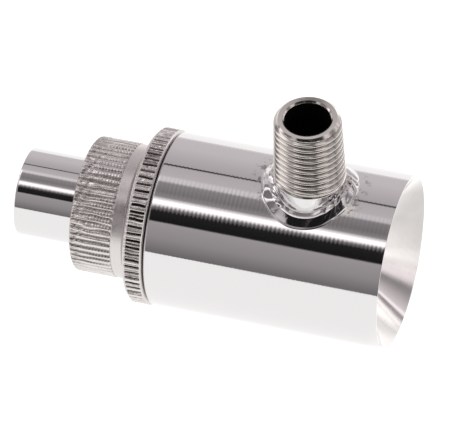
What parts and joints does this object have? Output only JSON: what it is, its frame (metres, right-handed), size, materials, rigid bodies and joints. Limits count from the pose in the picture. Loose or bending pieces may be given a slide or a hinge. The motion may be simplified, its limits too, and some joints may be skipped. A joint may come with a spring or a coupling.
{
  "type": "adjustable air amplifier",
  "caption": "Polished steel barrel with a funnel mouth and a threaded side inlet; a knurled sleeve with an outlet tube screws into its back end and is held by a knurled lock ring.",
  "frame": {"origin": "centre of the open end of the threaded inlet nipple", "axes": "+Z along the nipple and out of its open end, +X along the flow axis towards the funnel mouth, the outlet tube points to -X"},
  "size_m": [0.0732, 0.0334, 0.0502],
  "materials": {
    "polished_steel": "mirror polished stainless steel, turning marks just visible",
    "satin_steel": "satin stainless steel, straight knurl",
    "thread_steel": "bright turned stainless steel thread",
    "weld_steel": "lumpy weld, buffed to a shine",
    "seal_rubber": "smooth black nitrile rubber"
  },
  "bodies": {
    "barrel_body": {"barrel": "polished_steel", "inlet_nipple": "thread_steel", "weld_bead": "weld_steel"},
    "seal": {"plug_o_ring": "seal_rubber"},
    "plug": {"adjusting_sleeve": "satin_steel", "outlet_tube": "polished_steel"},
    "lock_ring": {"lock_ring": "satin_steel"}
  },
  "joints": [
    {"name": "sleeve_travel", "type": "slide", "parent": "barrel_body", "child": "seal", "axis": [1, 0, 0], "range_m": [-0.001, 0.0005]},
    {"name": "sleeve_turn", "type": "hinge", "parent": "seal", "child": "plug", "pos_m": [0, 0, -0.0335], "axis": [1, 0, 0], "range_deg": [-360, 180]},
    {"name": "lock_ring_turn", "type": "hinge", "parent": "barrel_body", "child": "lock_ring", "pos_m": [0, 0, -0.0335], "axis": [1, 0, 0], "range_deg": [-270, 0]}
  ],
  "couplings": [
    {"joint": "sleeve_travel", "follows": "sleeve_turn", "m_per_rad": 0.00015915}
  ]
}
